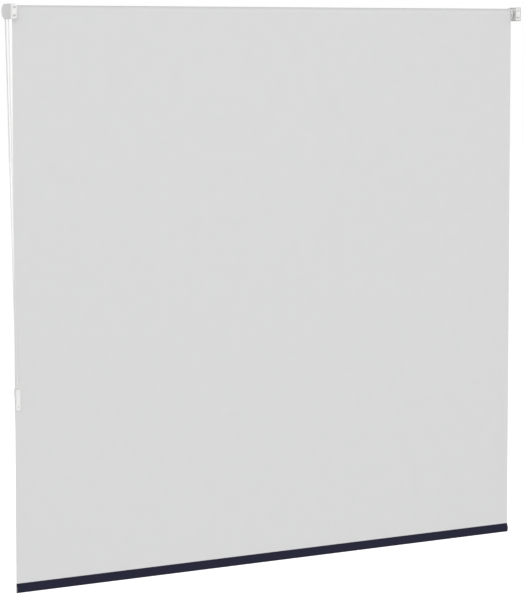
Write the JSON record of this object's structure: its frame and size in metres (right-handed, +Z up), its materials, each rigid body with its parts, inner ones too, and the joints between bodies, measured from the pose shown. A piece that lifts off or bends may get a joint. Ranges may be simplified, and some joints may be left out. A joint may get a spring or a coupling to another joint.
{
  "type": "blackout roller blind",
  "caption": "Roller blind: coated blackout fabric on a tube between two wall brackets, hem bar, bead chain drive and wall clip.",
  "frame": {"origin": "on the wall plane, at the middle of the chain side bracket's plate, level with the roller's axis", "axes": "+X along the roller away from the chain side, +Y from the wall into the room, +Z up"},
  "size_m": [1.551, 0.0633, 1.5033],
  "materials": {
    "bracket_white": "satin",
    "cover_grey": "satin",
    "mechanism_white": "matte",
    "drive_grey": "matte",
    "bright_steel": "satin",
    "chain_white": "satin",
    "aluminium": "satin",
    "trim_white": "satin",
    "fabric_coating": "matte",
    "fabric_navy": "matte"
  },
  "bodies": {
    "frame": {"control_bracket": "bracket_white", "control_cover": "cover_grey", "chain_guard": "drive_grey", "clutch_core": "drive_grey", "core_screw": "bright_steel", "hub_retainer": "drive_grey", "clutch_spring_1": "bright_steel", "clutch_spring_2": "bright_steel", "bead_chain": "chain_white", "fabric_drop": "fabric_coating", "idle_bracket": "bracket_white", "idle_bush": "mechanism_white", "idle_cover": "cover_grey", "tension_clip": "trim_white", "clip_pin": "bright_steel"},
    "roller": {"sprocket": "drive_grey", "drive_hub": "drive_grey", "roller_tube": "aluminium", "tube_spline": "trim_white", "fabric_roll": "fabric_coating", "idle_plug": "mechanism_white", "plug_retainer": "mechanism_white", "pin_spring": "bright_steel"},
    "pin": {"idle_pin": "bright_steel"},
    "rail": {"hem_pocket": "fabric_navy", "bottom_bar": "aluminium", "bar_cap_left": "trim_white", "bar_cap_right": "trim_white"}
  },
  "joints": [
    {"name": "rail_lift", "type": "slide", "parent": "frame", "child": "rail", "axis": [0, 0, 1], "range_m": [0, 1.419], "deforming": ["fabric_drop"]},
    {"name": "roller_spin", "type": "hinge", "parent": "frame", "child": "roller", "pos_m": [0, 0.044, 0], "axis": [-1, 0, 0], "range_deg": [0, 4320], "deforming": ["bead_chain"]},
    {"name": "idle_pin_slide", "type": "slide", "parent": "roller", "child": "pin", "axis": [-1, 0, 0], "range_m": [0, 0.006], "stiffness_N_per_m": 800, "springref_m": -0.005, "deforming": ["pin_spring"]}
  ],
  "couplings": [
    {"joint": "roller_spin", "follows": "rail_lift", "rad_per_m": 53.135}
  ]
}
